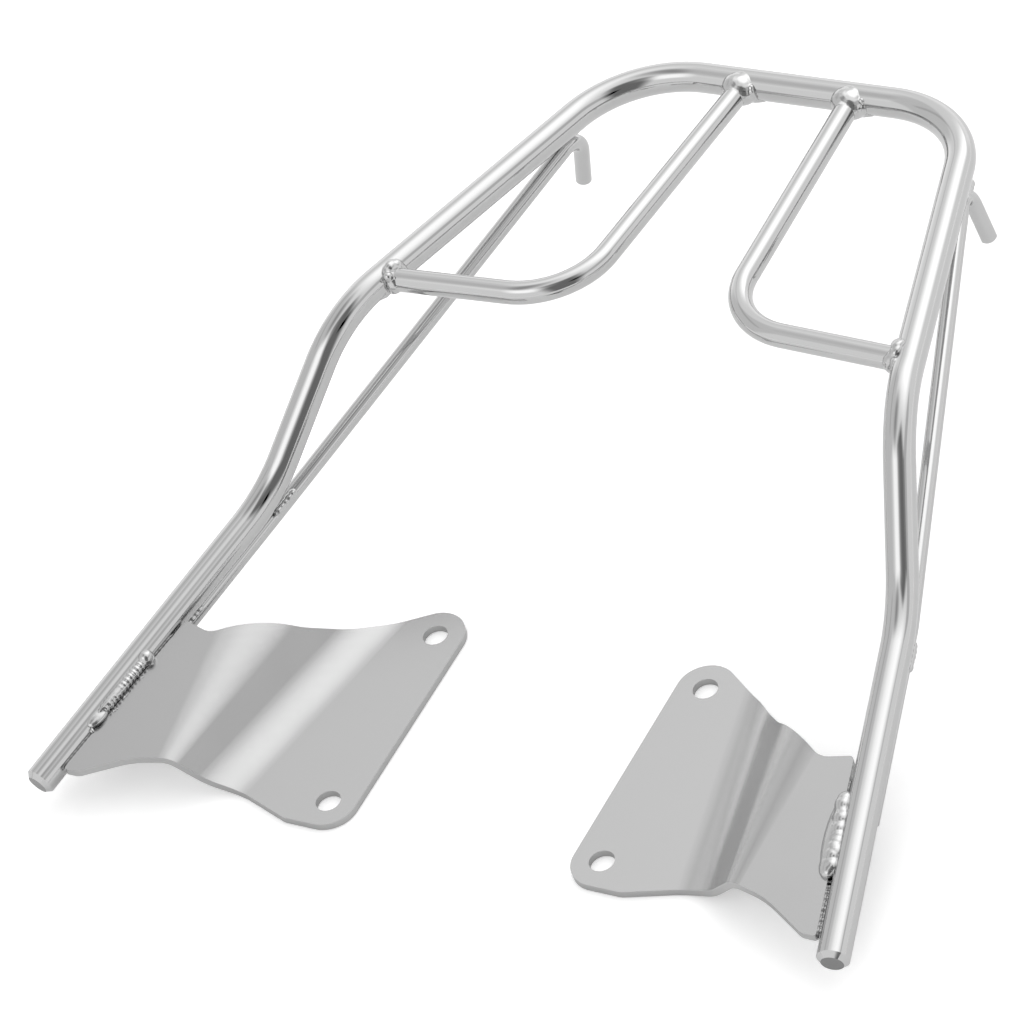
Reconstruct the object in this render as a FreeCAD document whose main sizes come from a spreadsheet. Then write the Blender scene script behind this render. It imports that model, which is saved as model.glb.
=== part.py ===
import FreeCAD, Part
import math
import os
from FreeCAD import Placement, Rotation, Vector

# Motorcycle luggage rack, millimetres.
# One closed round bar makes the deck loop and both legs. Two inner hoops, two brace rods that end
# in cargo hooks, and two folded mounting plates are welded to it.
# Part frame: +X towards the front of the motorcycle, +Y its left, +Z up. The origin is the centre
# of the four mounting holes, on the face that sits on the motorcycle, and that face is level.
# Deck frame: u forward from the rear bar, v to the left, w up, tilted about Y with the deck.

SIZES = [
    ("bar_d", 13.0, "round bar of the deck loop and legs"),
    ("hoop_d", 10.0, "round bar of the inner hoops"),
    ("rod_d", 7.0, "round bar of the brace rods and hooks"),
    ("fit_gap", 0.2, "clearance where one bar lies along another"),
    ("end_chamfer", 1.5, "chamfer on the leg ends"),
    ("hook_chamfer", 0.8, "chamfer on the ends of the brace rods"),
    ("deck_x", -309.0, "rear bar axis, from the hole pattern centre"),
    ("deck_z", 81.2, "rear bar axis above the seat face"),
    ("deck_tilt", 3.0, "deck rises towards the front, degrees"),
    ("rear_half_width", 81.6, "side rail line at the rear bar"),
    ("rear_corner_r", 47.5, "bend between rear bar and side rail"),
    ("upper_bend_u", 175.2, "bend where the side rail turns down"),
    ("upper_bend_v", 130.0, "half width at the upper bend"),
    ("upper_bend_r", 58.0, "radius of the upper bend"),
    ("lower_bend_u", 233.2, "bend where the leg levels out"),
    ("lower_bend_v", 148.2, "half width at the lower bend"),
    ("lower_bend_w", -54.1, "drop of the lower bend under the deck"),
    ("lower_bend_r", 63.0, "radius of the lower bend"),
    ("leg_end_u", 383.4, "front end of the leg"),
    ("leg_end_v", 182.8, "half width at the leg ends"),
    ("leg_end_w", -86.3, "drop of the leg end under the deck"),
    ("hoop_rear_v", 25.8, "hoop axis at the rear bar"),
    ("hoop_corner_u", 145.5, "bend of the inner hoop"),
    ("hoop_corner_v", 34.7, "bend of the inner hoop"),
    ("hoop_corner_r", 33.5, "radius of the hoop bend"),
    ("hoop_rail_u", 150.3, "hoop axis where it meets the side rail"),
    ("hook_u", 34.1, "hook bend, forward of the rear bar"),
    ("hook_out", 0.6, "hook bend, outside the side rail's axis"),
    ("hook_bend_r", 8.5, "radius of the hook bend"),
    ("hook_length", 30.0, "hook bend corner to hook tip"),
    ("hook_splay", 11.3, "hook leans outwards by this angle, degrees"),
    ("rod_bend_r", 60.0, "gentle bend where the rod meets the leg"),
    ("rod_tail", 90.0, "rod runs on under the leg by this length"),
    ("hole_pitch_x", 93.0, "mounting holes, front to rear"),
    ("hole_pitch_y", 127.0, "mounting holes, left to right"),
    ("hole_d", 10.5, "clearance holes for M10 bolts"),
    ("sheet_t", 3.2, "thickness of the mounting plates"),
    ("lobe_r", 12.7, "round corner of the plate about each hole"),
    ("riser_angle", 45.3, "slope of the riser between the two flanges, degrees"),
    ("valley_y_rear", 91.5, "foot of the riser at the rear hole"),
    ("valley_y_front", 110.0, "foot of the riser at the front hole"),
    ("rise_rear", 31.9, "leg flange above hole flange at the rear hole"),
    ("rise_front", 19.1, "leg flange above hole flange at the front hole"),
    ("valley_r", 26.0, "top face radius at the foot of the riser"),
    ("ridge_r_rear", 46.0, "top face radius at the head of the riser, at the rear hole"),
    ("ridge_r_front", 14.0, "top face radius at the head of the riser, at the front hole"),
    ("plate_gap", 1.3, "root gap between plate edge and leg"),
    ("plate_rear_x", -8.0, "rear corner of the plate at the leg"),
    ("plate_rear_r", 2.0, "round of that corner"),
    ("plate_front_x", 70.5, "front edge of the plate at the leg"),
    ("plate_front_r", 1.0, "round of the front corner at the leg"),
    ("notch_ahead", 3.5, "notch of the rear edge, forward of the plate's rear corner"),
    ("notch_in", 13.6, "notch of the rear edge, inward from that corner"),
    ("notch_r", 9.0, "round of the notch"),
    ("dip_ahead", 21.5, "hollow of the rear edge, forward of the rear hole"),
    ("dip_out", 47.5, "hollow of the rear edge, outward from the rear hole"),
    ("dip_r", 40.0, "round of the hollow"),
    ("bulge_ahead", 3.0, "bulge of the rear edge, forward of the rear hole"),
    ("bulge_out", 27.5, "bulge of the rear edge, outward from the rear hole"),
    ("bulge_r", 60.0, "round of the bulge"),
    ("ear_out", 14.5, "outer corner of the front lobe, outward from the front hole"),
    ("ear_r", 8.0, "round of that corner"),
    ("waist_ahead", 4.0, "waist of the front edge, forward of the front hole"),
    ("waist_out", 41.5, "waist of the front edge, outward from the front hole"),
    ("waist_r", 28.0, "round of the waist"),
    ("hip_back", 11.5, "hip of the front edge, behind the plate's front edge at the leg"),
    ("hip_in", 24.4, "hip of the front edge, inward from the plate's edge at the leg"),
    ("hip_r", 45.0, "round of the hip"),
    ("toe_in", 6.5, "front corner next to the leg, inward from the plate's edge there"),
    ("toe_r", 6.0, "round of that corner"),
    ("cap_throat", 3.0, "rear hoop weld stands out from the hoop by this much"),
    ("cap_sink", 1.5, "centre of the rear hoop weld, inside the rear bar's surface"),
    ("flare_throat", 2.8, "side hoop weld, stand-out from the hoop where it meets the rail"),
    ("flare_lip", 0.6, "side hoop weld, stand-out from the hoop at its thin end"),
    ("flare_length", 5.5, "side hoop weld, length along the hoop outside the rail"),
    ("bead_r", 5.0, "crown radius of the bead on top of the plate"),
    ("bead_pitch", 4.2, "spacing of its ripples"),
    ("bead_rear_x", 9.0, "bead on top of the plate, rear end"),
    ("bead_front_x", 48.0, "bead on top of the plate, front end"),
    ("root_bead_r", 3.4, "crown radius of the bead under the plate"),
    ("root_bead_rear_x", 2.0, "bead under the plate, rear end"),
    ("root_bead_front_x", 66.0, "bead under the plate, front end"),
    ("tack_r", 3.2, "crown radius of the short beads beside the brace rod"),
    ("tack_length", 7.5, "length of their crown"),
    ("tack_beside", 4.0, "their centre line, beside the line where rod and bar come closest"),
    ("tack_above", 0.5, "their centre line, above that line"),
    ("hook_tack_u", 42.5, "bead between hook bend and side rail, forward of the rear bar"),
    ("knee_tack_x", -58.0, "outer bead between brace rod and leg"),
    ("knee_tack_inner_x", -76.0, "inner bead between brace rod and leg"),
    ("tail_tack_x", -14.0, "bead near the lower end of the brace rod"),
]

doc = FreeCAD.newDocument("luggage_rack")
sheet = doc.addObject("Spreadsheet::Sheet", "Sizes")
for row, (alias, value, note) in enumerate(SIZES, start=1):
    sheet.set("A%d" % row, note)
    sheet.set("B%d" % row, str(value))
    sheet.setAlias("B%d" % row, alias)
doc.recompute()


def size(alias):
    """The value of a driving dimension."""
    return float(sheet.get(alias))


NEAR = 0.01         # points closer than this are the same point, mm
nodes = []


def node(obj, label):
    """Marks an object as a finished piece of the rack."""
    obj.Label = label
    nodes.append(obj)
    return obj


def feature(name, shape):
    """A plain object that holds a construction shape."""
    obj = doc.addObject("Part::Feature", name)
    obj.Shape = shape
    return obj


def boolean(kind, name, base, tool):
    """Part::Cut, Part::Fuse or Part::Common of two objects."""
    obj = doc.addObject("Part::" + kind, name)
    obj.Base = base
    obj.Tool = tool
    return obj


def mirrored(obj, label):
    """The same piece on the right-hand side of the motorcycle."""
    other = doc.addObject("Part::Mirroring", label)
    other.Source = obj
    other.Normal = Vector(0, 1, 0)
    return node(other, label)


# Geometry helpers

deck_turn = Rotation(Vector(0, 1, 0), -size("deck_tilt"))
deck_origin = Vector(size("deck_x"), 0, size("deck_z"))


def deck(u, v, w=0.0):
    """A point of the deck frame, in the part frame."""
    return deck_origin + deck_turn.multVec(Vector(u, v, w))


def unit(vector):
    """A vector's direction."""
    return Vector(vector) / vector.Length


def bend(before, corner, after, radius):
    """Arc of the given radius, tangent to the two runs that meet at a corner."""
    d1 = unit(before - corner)
    d2 = unit(after - corner)
    half = d1.getAngle(d2) / 2
    reach = radius / math.tan(half)
    middle = corner + unit(d1 + d2) * (radius / math.sin(half) - radius)
    return Part.Arc(corner + d1 * reach, middle, corner + d2 * reach)


def bent_path(points, radii):
    """Open wire of straight runs joined by tangent arcs, one radius per inner point."""
    edges = []
    last = points[0]
    for before, corner, after, radius in zip(points, points[1:], points[2:], radii):
        arc = bend(before, corner, after, radius)
        edges.append(Part.LineSegment(last, arc.StartPoint).toShape())
        edges.append(arc.toShape())
        last = arc.EndPoint
    edges.append(Part.LineSegment(last, points[-1]).toShape())
    return Part.Wire(edges)


def rounded_outline(corners):
    """Closed wire through (point, radius) corners. A radius of 0 leaves the corner sharp."""
    edges = []
    count = len(corners)
    ends = []
    for i, (corner, radius) in enumerate(corners):
        before = corners[i - 1][0]
        after = corners[(i + 1) % count][0]
        if radius > 0:
            arc = bend(before, corner, after, radius)
            ends.append((arc.StartPoint, arc.EndPoint, arc))
        else:
            ends.append((corner, corner, None))
    for i, (start, end, arc) in enumerate(ends):
        if arc:
            edges.append(arc.toShape())
        edges.append(Part.LineSegment(end, ends[(i + 1) % count][0]).toShape())
    return Part.Wire(edges)


def round_bar(name, path, radius_rule):
    """A round bar swept along a wire. The radius is bound to the sheet."""
    spine = feature(name + "_path", path)
    start = path.OrderedEdges[0]
    section = doc.addObject("Part::Circle", name + "_section")
    section.setExpression("Radius", radius_rule)
    section.Placement = Placement(start.valueAt(start.FirstParameter),
                                  Rotation(Vector(0, 0, 1), start.tangentAt(start.FirstParameter)))
    bar = doc.addObject("Part::Sweep", name)
    bar.Sections = [section]
    bar.Spine = (spine, ["Edge%d" % (i + 1) for i in range(len(path.Edges))])
    bar.Solid = True
    return bar


def chamfered_ends(bar, label, ends, amount):
    """Chamfers the round edge of a bar at each given end point."""
    doc.recompute()
    picked = []
    for i, edge in enumerate(bar.Shape.Edges):
        round_edge = edge.Curve.TypeId == "Part::GeomCircle"
        if round_edge and any((edge.Curve.Center - end).Length < NEAR for end in ends):
            picked.append((i + 1, amount, amount))
    cut = doc.addObject("Part::Chamfer", label)
    cut.Base = bar
    cut.Edges = picked
    return cut


# Main loop: leg, side rail, rear bar, side rail, leg

bar_r = size("bar_d") / 2
hoop_r = size("hoop_d") / 2
rod_r = size("rod_d") / 2

leg_end = deck(size("leg_end_u"), size("leg_end_v"), size("leg_end_w"))
lower_bend = deck(size("lower_bend_u"), size("lower_bend_v"), size("lower_bend_w"))
upper_bend = deck(size("upper_bend_u"), size("upper_bend_v"))
rear_corner = deck(0, size("rear_half_width"))


def other_side(point):
    """The mirror image of a point across the middle plane."""
    return Vector(point.x, -point.y, point.z)


left_points = [leg_end, lower_bend, upper_bend, rear_corner]
left_radii = [size("lower_bend_r"), size("upper_bend_r"), size("rear_corner_r")]
loop_path = bent_path(left_points + [other_side(p) for p in reversed(left_points)],
                      left_radii + list(reversed(left_radii)))
loop_bar = round_bar("loop_bar", loop_path, "Sizes.bar_d / 2")
main_loop = node(chamfered_ends(loop_bar, "main_loop", [leg_end, other_side(leg_end)],
                                size("end_chamfer")), "main_loop")

leg_direction = unit(leg_end - lower_bend)


def leg_at(x):
    """Point on the axis of the left leg at a given x."""
    return lower_bend + leg_direction * ((x - lower_bend.x) / leg_direction.x)


def rail_v(u):
    """Half width of the side rail's axis at a given u."""
    share = u / size("upper_bend_u")
    return size("rear_half_width") + share * (size("upper_bend_v") - size("rear_half_width"))


# Inner hoops: from the rear bar, forward, and out to the side rail

hoop_start = deck(0, size("hoop_rear_v"))
hoop_corner = deck(size("hoop_corner_u"), size("hoop_corner_v"))
hoop_end = deck(size("hoop_rail_u"), rail_v(size("hoop_rail_u")))
hoop_bar = round_bar("hoop_bar", bent_path([hoop_start, hoop_corner, hoop_end],
                                           [size("hoop_corner_r")]), "Sizes.hoop_d / 2")
left_hoop = node(boolean("Cut", "left_inner_hoop", hoop_bar, main_loop), "left_inner_hoop")
right_hoop = mirrored(left_hoop, "right_inner_hoop")

# Brace rods: along the underside of the leg, back up to the side rail, and down into a hook

touch = bar_r + rod_r + size("fit_gap")
under_leg = unit(Vector(0, 0, -1) - leg_direction * Vector(0, 0, -1).dot(leg_direction))
rod_knee = lower_bend + under_leg * touch
rod_end = rod_knee + leg_direction * size("rod_tail")
hook_way = deck_turn.multVec(Rotation(Vector(1, 0, 0), size("hook_splay")).multVec(Vector(0, 0, -1)))


def hook_corner_at(w):
    """Corner of the hook bend at a height in the deck frame."""
    return deck(size("hook_u"), rail_v(size("hook_u")) + size("hook_out"), w)


def crown_drop(corner):
    """How far the top of the hook bend's axis lies under its corner."""
    arc = bend(rod_knee, corner, corner + hook_way * size("hook_length"), size("hook_bend_r"))
    return corner.z - arc.toShape().BoundBox.ZMax


hook_corner = hook_corner_at(-touch)
hook_corner = hook_corner_at(-touch + crown_drop(hook_corner))
hook_tip = hook_corner + hook_way * size("hook_length")
rod_bar = round_bar("rod_bar", bent_path([rod_end, rod_knee, hook_corner, hook_tip],
                                         [size("rod_bend_r"), size("hook_bend_r")]),
                    "Sizes.rod_d / 2")
left_rod = node(chamfered_ends(rod_bar, "left_brace_rod", [rod_end, hook_tip],
                               size("hook_chamfer")), "left_brace_rod")
right_rod = mirrored(left_rod, "right_brace_rod")

# Mounting plates: a sheet folded twice, so that a level flange carries the holes and a sloping
# flange meets the leg. The two folds run apart towards the rear, and the sheet is trimmed to its
# outline.

sheet_t = size("sheet_t")
hole_x = size("hole_pitch_x") / 2
hole_y = size("hole_pitch_y") / 2
inner_edge_y = hole_y - size("lobe_r")


def between(rear, front, x):
    """Value at x of something given at the rear and the front hole."""
    return rear + (front - rear) * (x + hole_x) / (2 * hole_x)


def line(start, end):
    """A straight edge."""
    return Part.LineSegment(start, end).toShape()


def bend_line_y(x):
    """Where the level flange ends and the bend at the foot of the riser starts."""
    reach = size("valley_r") * math.tan(math.radians(size("riser_angle")) / 2)
    return between(size("valley_y_rear"), size("valley_y_front"), x) - reach


def riser_section(x, outer_y):
    """Closed section of the riser and the leg flange at a given x, from the bend line outwards."""
    slope = math.radians(size("riser_angle"))
    shift = sheet_t * math.tan(slope / 2)
    foot = between(size("valley_y_rear"), size("valley_y_front"), x)
    rise = between(size("rise_rear"), size("rise_front"), x)
    ridge_r = between(size("ridge_r_rear"), size("ridge_r_front"), x)
    head = foot + rise / math.tan(slope)
    top = [Vector(x, 0, sheet_t), Vector(x, foot, sheet_t),
           Vector(x, head, sheet_t + rise), Vector(x, outer_y, sheet_t + rise)]
    under = [Vector(x, 0, 0), Vector(x, foot + shift, 0),
             Vector(x, head + shift, rise), Vector(x, outer_y, rise)]
    valley = bend(top[0], top[1], top[2], size("valley_r"))
    ridge = bend(top[1], top[2], top[3], ridge_r)
    under_valley = bend(under[0], under[1], under[2], size("valley_r") + sheet_t)
    under_ridge = bend(under[1], under[2], under[3], ridge_r - sheet_t)
    return Part.Wire([
        line(under_valley.StartPoint, valley.StartPoint),
        valley.toShape(),
        line(valley.EndPoint, ridge.StartPoint),
        ridge.toShape(),
        line(ridge.EndPoint, top[3]),
        line(top[3], under[3]),
        line(under[3], under_ridge.EndPoint),
        under_ridge.toShape(),
        line(under_ridge.StartPoint, under_valley.EndPoint),
        under_valley.toShape(),
    ])


def leg_edge(x):
    """Point of the plate's edge beside the leg, in plan."""
    plan = Vector(leg_direction.x, leg_direction.y, 0).normalize()
    return Vector(x, leg_at(x).y - (bar_r + size("plate_gap")) / plan.x, 0)


def plate_outline():
    """Plan outline of the left plate, as a face."""
    rear_leg = leg_edge(size("plate_rear_x"))
    front_leg = leg_edge(size("plate_front_x"))
    rear_hole = Vector(-hole_x, hole_y, 0)
    front_hole = Vector(hole_x, hole_y, 0)
    bulge = rear_hole + Vector(size("bulge_ahead"), size("bulge_out"), 0)
    # The rear edge runs from the bulge, tangent to the round corner about the rear hole.
    to_hole = rear_hole - bulge
    turn = math.degrees(math.asin(size("lobe_r") / to_hole.Length))
    edge = unit(Rotation(Vector(0, 0, 1), -turn).multVec(to_hole))
    hip_x = size("plate_front_x") - size("hip_back")
    front_x = hole_x + size("lobe_r")
    return Part.Face(rounded_outline([
        (rear_leg, size("plate_rear_r")),
        (rear_leg + Vector(size("notch_ahead"), -size("notch_in"), 0), size("notch_r")),
        (rear_hole + Vector(size("dip_ahead"), size("dip_out"), 0), size("dip_r")),
        (bulge, size("bulge_r")),
        (bulge + edge * ((inner_edge_y - bulge.y) / edge.y), size("lobe_r")),
        (Vector(front_x, inner_edge_y, 0), size("lobe_r")),
        (Vector(front_x, hole_y + size("ear_out"), 0), size("ear_r")),
        (front_hole + Vector(size("waist_ahead"), size("waist_out"), 0), size("waist_r")),
        (leg_edge(hip_x) - Vector(0, size("hip_in"), 0), size("hip_r")),
        (front_leg - Vector(0, size("toe_in"), 0), size("toe_r")),
        (front_leg, size("plate_front_r")),
    ]))


outline = plate_outline()
margin = sheet_t / 4        # the sheet reaches past its outline by this much before trimming
section_rear = outline.BoundBox.XMin - margin
section_front = outline.BoundBox.XMax + margin
outer_y = outline.BoundBox.YMax + margin
riser = feature("riser", Part.makeLoft(
    [riser_section(section_rear, outer_y), riser_section(section_front, outer_y)], True, True))
level_face = feature("level_flange_face", Part.Face(Part.makePolygon([
    Vector(section_rear, inner_edge_y - margin, 0),
    Vector(section_front, inner_edge_y - margin, 0),
    Vector(section_front, bend_line_y(section_front), 0),
    Vector(section_rear, bend_line_y(section_rear), 0),
    Vector(section_rear, inner_edge_y - margin, 0)])))
level_flange = doc.addObject("Part::Extrusion", "level_flange")
level_flange.Base = level_face
level_flange.DirMode = "Custom"
level_flange.Dir = Vector(0, 0, 1)
level_flange.Solid = True
level_flange.setExpression("LengthFwd", "Sizes.sheet_t")
folded_sheet = boolean("Fuse", "folded_sheet", level_flange, riser)
outline_face = feature("plate_outline", outline)
blank = doc.addObject("Part::Extrusion", "plate_blank")
blank.Base = outline_face
blank.DirMode = "Custom"
blank.Dir = Vector(0, 0, 1)
blank.Solid = True
blank.setExpression("LengthRev", "Sizes.sheet_t")
blank.setExpression("LengthFwd", "2 * (Sizes.rise_rear + Sizes.sheet_t)")
trimmed = boolean("Common", "trimmed_sheet", folded_sheet, blank)


def bolt_hole(name, x_rule):
    """Drill for one mounting hole of the left plate."""
    drill = doc.addObject("Part::Cylinder", name)
    drill.setExpression("Radius", "Sizes.hole_d / 2")
    drill.setExpression("Height", "3 * Sizes.sheet_t")
    drill.setExpression("Placement.Base.x", x_rule)
    drill.setExpression("Placement.Base.y", "Sizes.hole_pitch_y / 2")
    drill.setExpression("Placement.Base.z", "-Sizes.sheet_t")
    return drill


rear_hole = bolt_hole("rear_hole", "-Sizes.hole_pitch_x / 2")
front_hole = bolt_hole("front_hole", "Sizes.hole_pitch_x / 2")
holes = boolean("Fuse", "mounting_holes", rear_hole, front_hole)
left_plate = node(boolean("Cut", "left_mounting_plate", trimmed, holes), "left_mounting_plate")
right_plate = mirrored(left_plate, "right_mounting_plate")

# Welds. Each is a round bead or a swelling about the end of a hoop, cut to the surfaces that it
# joins.

def trimmed_weld(label, bead, neighbours):
    """The weld left after cutting away each neighbour, and its mirror image."""
    for neighbour in neighbours:
        bead = boolean("Cut", "%s_off_%s" % (label, neighbour.Name), bead, neighbour)
    left = node(bead, "left_" + label)
    mirrored(left, "right_" + label)
    return left


def ball(name, centre, axis, radius_rule):
    """A sphere with its poles on an axis."""
    sphere = doc.addObject("Part::Sphere", name)
    sphere.setExpression("Radius", radius_rule)
    sphere.Placement = Placement(centre, Rotation(Vector(0, 0, 1), axis))
    return sphere


def rippled_bead(label, centres, radius_name, neighbours):
    """A bead made of round ripples at the given centres."""
    way = unit(centres[-1] - centres[0])
    bead = doc.addObject("Part::MultiFuse", label + "_bead")
    bead.Shapes = [ball("%s_ripple_%d" % (label, i + 1), centre, way, "Sizes." + radius_name)
                   for i, centre in enumerate(centres)]
    return trimmed_weld(label, bead, neighbours)


def smooth_bead(label, start, end, radius_name, neighbours):
    """A straight bead with round ends."""
    way = unit(end - start)
    crown = doc.addObject("Part::Cylinder", label + "_crown")
    crown.setExpression("Radius", "Sizes." + radius_name)
    crown.Height = (end - start).Length
    crown.Placement = Placement(start, Rotation(Vector(0, 0, 1), way))
    bead = doc.addObject("Part::MultiFuse", label + "_bead")
    bead.Shapes = [crown, ball(label + "_start", start, way, "Sizes." + radius_name),
                   ball(label + "_end", end, way, "Sizes." + radius_name)]
    return trimmed_weld(label, bead, neighbours)


def stations(start, end, pitch):
    """Evenly spaced values from start to end, no further apart than the pitch."""
    steps = max(1, math.ceil(abs(end - start) / pitch))
    return [start + (end - start) * i / steps for i in range(steps + 1)]


# Rear hoop weld: a round cap over the hoop's end

hoop_way = unit(hoop_corner - hoop_start)
cap = ball("hoop_cap", hoop_start + hoop_way * (bar_r - size("cap_sink")), hoop_way,
           "Sizes.hoop_d / 2 + Sizes.cap_throat")
trimmed_weld("hoop_rear_weld", cap, [main_loop, left_hoop])

# Side hoop weld: a flare that widens towards the rail

flare_way = unit(hoop_corner - hoop_end)
flare = doc.addObject("Part::Cone", "hoop_flare")
flare.setExpression("Radius1", "Sizes.hoop_d / 2 + Sizes.flare_throat")
flare.setExpression("Radius2", "Sizes.hoop_d / 2 + Sizes.flare_lip")
flare.setExpression("Height", "Sizes.bar_d / 2 + Sizes.flare_length")
flare.Placement = Placement(hoop_end, Rotation(Vector(0, 0, 1), flare_way))
trimmed_weld("hoop_rail_weld", flare, [main_loop, left_hoop])


# Plate beads: along the root gap between plate and leg, one on top and one underneath

def seam_point(x, lift):
    """Point over the middle of the root gap, at a lift above the underside of the leg flange."""
    plan = Vector(leg_direction.x, leg_direction.y, 0).normalize()
    away = (bar_r + size("plate_gap") / 2) / plan.x
    return Vector(x, leg_at(x).y - away, between(size("rise_rear"), size("rise_front"), x) + lift)


top_seam = stations(size("bead_rear_x"), size("bead_front_x"), size("bead_pitch"))
top_weld = rippled_bead("plate_top_weld", [seam_point(x, sheet_t) for x in top_seam], "bead_r",
                        [main_loop, left_plate])
smooth_bead("plate_root_weld", seam_point(size("root_bead_rear_x"), 0),
            seam_point(size("root_bead_front_x"), 0), "root_bead_r",
            [main_loop, left_plate, top_weld])


# Short beads beside the brace rod, in the groove between it and the bar above

def groove_bead(label, middle, along, down, side):
    """A short bead beside the closest line of rod and bar, centred next to an axis point."""
    outward = unit(along.cross(down)) * side
    centre = middle + down * (bar_r - size("tack_above")) + outward * size("tack_beside")
    half = along * (size("tack_length") / 2)
    smooth_bead(label, centre - half, centre + half, "tack_r", [main_loop, left_rod])


OUTER = 1
INNER = -1
groove_bead("knee_outer_weld", leg_at(size("knee_tack_x")), leg_direction, under_leg, OUTER)
groove_bead("knee_inner_weld", leg_at(size("knee_tack_inner_x")), leg_direction, under_leg, INNER)
groove_bead("tail_weld", leg_at(size("tail_tack_x")), leg_direction, under_leg, INNER)
rail_way = unit(upper_bend - rear_corner)
hook_tack = deck(size("hook_tack_u"), rail_v(size("hook_tack_u")))
groove_bead("hook_weld", hook_tack, rail_way, Vector(0, 0, -1), OUTER)

# Every object is checked before the first file is written.

doc.recompute()
for obj in doc.Objects:
    if "Invalid" in obj.State or "Error" in obj.State:
        raise RuntimeError("%s did not compute: %s" % (obj.Label, obj.State))
    if hasattr(obj, "Shape") and (obj.Shape.isNull() or not obj.Shape.isValid()):
        raise RuntimeError("%s has no valid shape" % obj.Label)
for piece in nodes:
    if len(piece.Shape.Solids) != 1:
        raise RuntimeError("%s is not one solid" % piece.Label)

os.makedirs("parts", exist_ok=True)
for piece in nodes:
    piece.Shape.exportStep("parts/%s.step" % piece.Label)
    print(piece.Label, round(piece.Shape.Volume, 1))
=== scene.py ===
import math
import random

import bpy
from mathutils import Matrix, Vector


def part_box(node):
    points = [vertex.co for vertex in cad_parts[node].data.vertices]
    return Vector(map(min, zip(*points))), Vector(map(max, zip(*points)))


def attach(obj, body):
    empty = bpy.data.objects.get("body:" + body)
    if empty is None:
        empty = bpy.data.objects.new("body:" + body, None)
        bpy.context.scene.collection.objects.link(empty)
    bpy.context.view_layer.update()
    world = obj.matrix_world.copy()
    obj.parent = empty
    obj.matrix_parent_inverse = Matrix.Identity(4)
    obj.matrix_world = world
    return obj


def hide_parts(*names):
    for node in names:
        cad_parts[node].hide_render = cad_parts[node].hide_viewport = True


bl_info = {
    "name": "Luggage rack dressing",
    "version": (1, 0, 0),
    "blender": (4, 5, 0),
    "location": "View3D > Sidebar > Rack",
    "description": "Dresses the packed luggage rack: plated bars, satin sheet and weld beads",
    "category": "Object",
}

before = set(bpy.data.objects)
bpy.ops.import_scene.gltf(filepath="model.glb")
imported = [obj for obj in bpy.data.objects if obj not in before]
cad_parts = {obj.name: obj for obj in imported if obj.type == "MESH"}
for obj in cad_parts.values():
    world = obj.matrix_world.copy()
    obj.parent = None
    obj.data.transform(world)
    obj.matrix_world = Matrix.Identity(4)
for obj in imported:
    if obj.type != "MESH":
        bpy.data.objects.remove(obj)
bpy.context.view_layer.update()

MM = 0.001

# The rack's bends, left side, in millimetres: the same points as the solids. The triples lie in the
# deck's frame, which starts at DECK_ORIGIN and tilts with the deck.
DECK_ORIGIN = Vector((-309.0, 0.0, 81.2))
DECK_TILT = math.radians(3.0)
REAR_CORNER = (0.0, 81.6, 0.0)
UPPER_BEND = (175.2, 130.0, 0.0)
LOWER_BEND = (233.2, 148.2, -54.1)
LEG_END = (383.4, 182.8, -86.3)
LOOP_RADII = (63.0, 58.0, 47.5)
HOOP_START = (0.0, 25.8, 0.0)
HOOP_CORNER = (145.5, 34.7, 0.0)
HOOP_RAIL_U = 150.3
HOOP_BEND = 33.5
HOOK_U = 34.1
HOOK_OUT = 0.6
HOOK_BEND = 8.5
HOOK_LENGTH = 30.0
HOOK_SPLAY = math.radians(11.3)
ROD_BEND = 60.0
ROD_TAIL = 90.0
ROD_GAP = 0.2
SHEET_T = 3.2
PLATE_GAP = 1.3
# Rise of the plate's raised side at the rear and front bolt holes, and where those holes lie.
RISE_REAR, RISE_FRONT, HOLE_X = 31.9, 19.1, 46.5
# How deep a hoop's end goes into the loop bar, as a share of that bar's radius.
HOOP_SINK = 0.7

# Tolerances and finish of a built bar.
FLAT_END = 0.01 * MM
SAME_FACE = 0.05 * MM
SAME_POINT = 0.001 * MM
SMOOTH_ANGLE = math.radians(30)
MIN_BEND_RINGS = 3

# Lumps on the left side of a cap: how many, first angle from the top, step and scatter in degrees,
# and the lowest that they reach down, as a share of the cap's radius.
CAP_LUMPS, CAP_FIRST, CAP_STEP, CAP_SCATTER, CAP_LOWEST = 8, 62, 12, 6, -0.60
# Lumps round a flare, where it is fullest and where its drop lies, in degrees from the top.
FLARE_LUMPS, FLARE_FULL, FLARE_DROP = 12, -60, 38
# Where a weld runs out along a bar: distance of each drop from the hoop's skin, and its radius.
CAP_RUN_OUT = ((0.7, 2.7), (2.2, 2.1), (3.6, 1.5), (4.8, 1.0))
FLARE_RUN_OUT = ((0.4, 2.6), (1.9, 2.0), (3.3, 1.5), (4.5, 1.0))
# Beads on top of the plates. The left one is broad and lies on the plate. The right one is thin, was laid
# in short steps and climbs up the leg. Side, first and last ripple (x), shift, length and height of a
# ripple as shares of its radius, unevenness, smoothing steps.
PLATE_BEADS = (
    ("left", 12.0, 41.0, (0, -0.3, 0.8), 1.15, 0.82, 1.0, 4),
    ("right", 14.0, 40.5, (0, 1.8, 1.5), 0.56, 0.78, 0.3, 7),
)
SPATTER = 16
# Beads under the plates: side, and how high in the gap the root run comes.
ROOT_BEADS = (("left", -1.0), ("right", 1.3))
# Short beads of the brace rods: node, size as a share of tack_r, seed.
LEG_BEADS = (("left_knee_outer_weld", 1.0, 1), ("left_knee_inner_weld", 0.8, 2), ("left_tail_weld", 0.7, 4))
RAIL_BEAD = ("left_hook_weld", 0.9, 6)
ROD_RIPPLES = 5
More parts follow.
